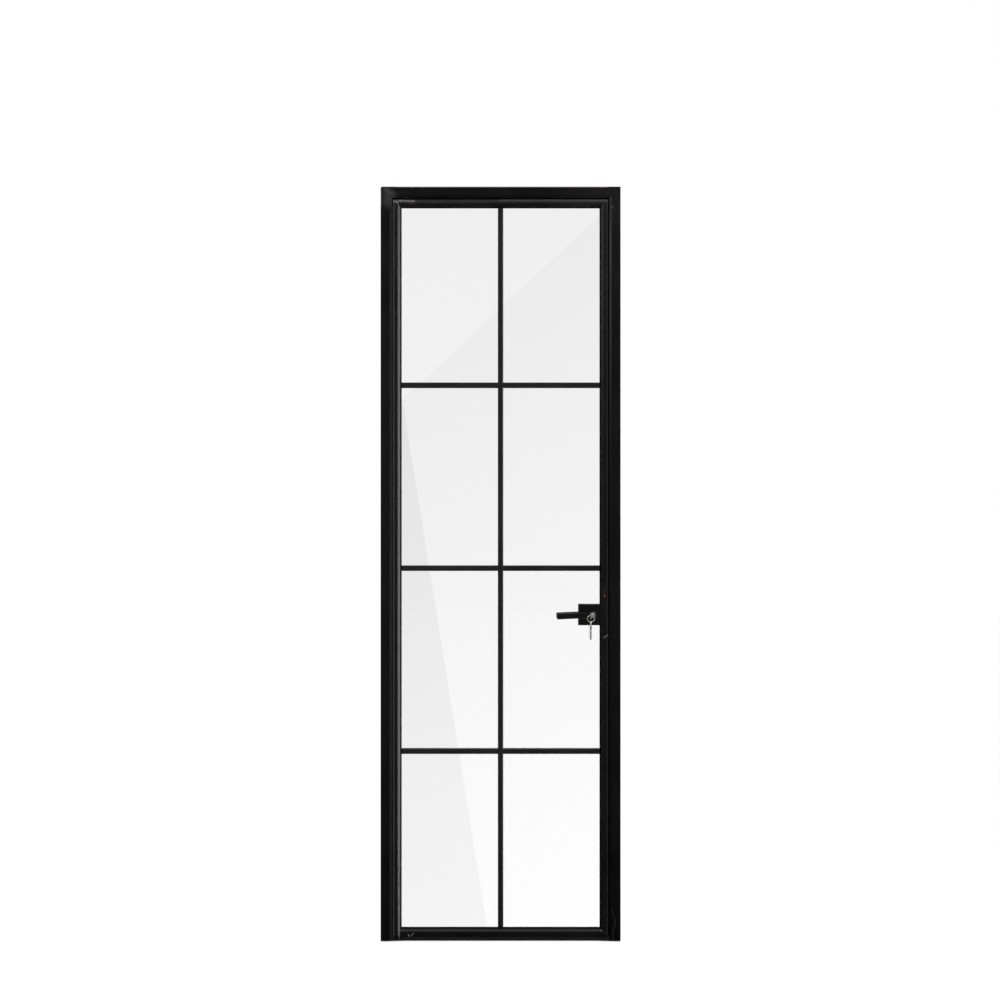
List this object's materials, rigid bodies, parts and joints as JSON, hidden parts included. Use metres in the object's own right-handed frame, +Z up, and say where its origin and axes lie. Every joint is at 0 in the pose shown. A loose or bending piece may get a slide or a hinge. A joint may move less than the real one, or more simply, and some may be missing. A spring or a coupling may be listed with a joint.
{
  "type": "glass door",
  "caption": "Glazed door in a slim black metal frame, with narrow glazing bars, a lock let into the edge of the glass, flat lever handles and a hanging key.",
  "frame": {"origin": "middle of the object's bounding box at floor level, where the jambs stand", "axes": "+X towards the lock side as seen from the key side, +Y from the key side through the door to the side it opens to, +Z up"},
  "size_m": [0.7, 0.1874, 2.2],
  "materials": {
    "black_profile": "satin black powder coat",
    "black_hardware": "satin black powder coat",
    "seal_rubber": "matt",
    "clear_glass": "clear toughened glass",
    "mill_aluminium": "mill finish",
    "zinc_steel": "zinc plated",
    "nickel": "worn nickel plate",
    "black_plastic": "matt"
  },
  "bodies": {
    "frame": {"hinge_jamb": "black_profile", "lock_jamb": "black_profile", "head_jamb": "black_profile", "frame_corner_cleats": "mill_aluminium", "frame_seal": "seal_rubber", "fixing_hole_caps": "black_plastic", "strike_plate": "zinc_steel", "strike_box": "black_plastic", "hinge_pins": "zinc_steel", "frame_screws": "zinc_steel", "upper_hinge_frame_half": "black_hardware", "middle_hinge_frame_half": "black_hardware", "lower_hinge_frame_half": "black_hardware"},
    "leaf": {"hinge_stile": "black_profile", "lock_stile": "black_profile", "top_rail": "black_profile", "bottom_rail": "black_profile", "leaf_corner_cleats": "mill_aluminium", "glass_pane": "clear_glass", "outer_glazing_seal": "seal_rubber", "inner_glazing_seal": "seal_rubber", "glazing_bead_hinge": "black_profile", "glazing_bead_lock": "black_profile", "glazing_bead_top": "black_profile", "glazing_bead_bottom": "black_profile", "setting_blocks": "black_plastic", "bottom_seal": "seal_rubber", "outer_mullion": "black_profile", "inner_mullion": "black_profile", "outer_bar_upper": "black_profile", "outer_bar_middle": "black_profile", "outer_bar_lower": "black_profile", "inner_bar_upper": "black_profile", "inner_bar_middle": "black_profile", "inner_bar_lower": "black_profile", "lock_front_cover": "black_hardware", "lock_back_cover": "black_hardware", "lock_bolts": "zinc_steel", "lock_case": "zinc_steel", "latch_tube": "zinc_steel", "forend_plate": "zinc_steel", "leaf_screws": "zinc_steel", "upper_hinge_leaf_half": "black_hardware", "middle_hinge_leaf_half": "black_hardware", "lower_hinge_leaf_half": "black_hardware", "latch_spring": "zinc_steel"},
    "levers": {"outer_lever": "black_hardware", "inner_lever": "black_hardware", "spindle": "zinc_steel", "follower": "zinc_steel"},
    "latch": {"latch_bolt": "zinc_steel"},
    "key_plug": {"key_plug": "nickel"},
    "main_key": {"main_key": "nickel"},
    "key_ring": {"key_ring": "nickel"},
    "spare_key": {"spare_key": "nickel"},
    "turn_button": {"turn_button": "black_hardware"}
  },
  "joints": [
    {"name": "leaf_swing", "type": "hinge", "parent": "frame", "child": "leaf", "pos_m": [-0.3245, 0.041, 0], "axis": [0, 0, 1], "range_deg": [0, 110]},
    {"name": "lever_turn", "type": "hinge", "parent": "leaf", "child": "levers", "pos_m": [0.266, 0.0107, 0.951], "axis": [0, -1, 0], "range_deg": [0, 45], "stiffness_Nm_per_rad": 1, "springref_deg": -20.05},
    {"name": "latch_slide", "type": "slide", "parent": "leaf", "child": "latch", "axis": [-1, 0, 0], "range_m": [0, 0.011], "deforming": ["latch_spring"]},
    {"name": "key_turn", "type": "hinge", "parent": "levers", "child": "key_plug", "pos_m": [0.266, -0.0603, 0.951], "axis": [0, -1, 0], "range_deg": [0, 90]},
    {"name": "key_pull", "type": "slide", "parent": "key_plug", "child": "main_key", "axis": [0, -1, 0], "range_m": [0, 0.034]},
    {"name": "ring_swing", "type": "hinge", "parent": "main_key", "child": "key_ring", "pos_m": [0.266, -0.0827, 0.951], "axis": [0.9063, 0, -0.4226], "range_deg": [-20, 20]},
    {"name": "spare_key_swing", "type": "hinge", "parent": "key_ring", "child": "spare_key", "pos_m": [0.26169, -0.0827, 0.93156], "axis": [1, 0, 0], "range_deg": [-20, 20]},
    {"name": "button_turn", "type": "hinge", "parent": "levers", "child": "turn_button", "pos_m": [0.266, 0.0817, 0.951], "axis": [0, 1, 0], "range_deg": [0, 90]}
  ],
  "couplings": [
    {"joint": "latch_slide", "follows": "lever_turn", "m_per_rad": 0.014}
  ]
}
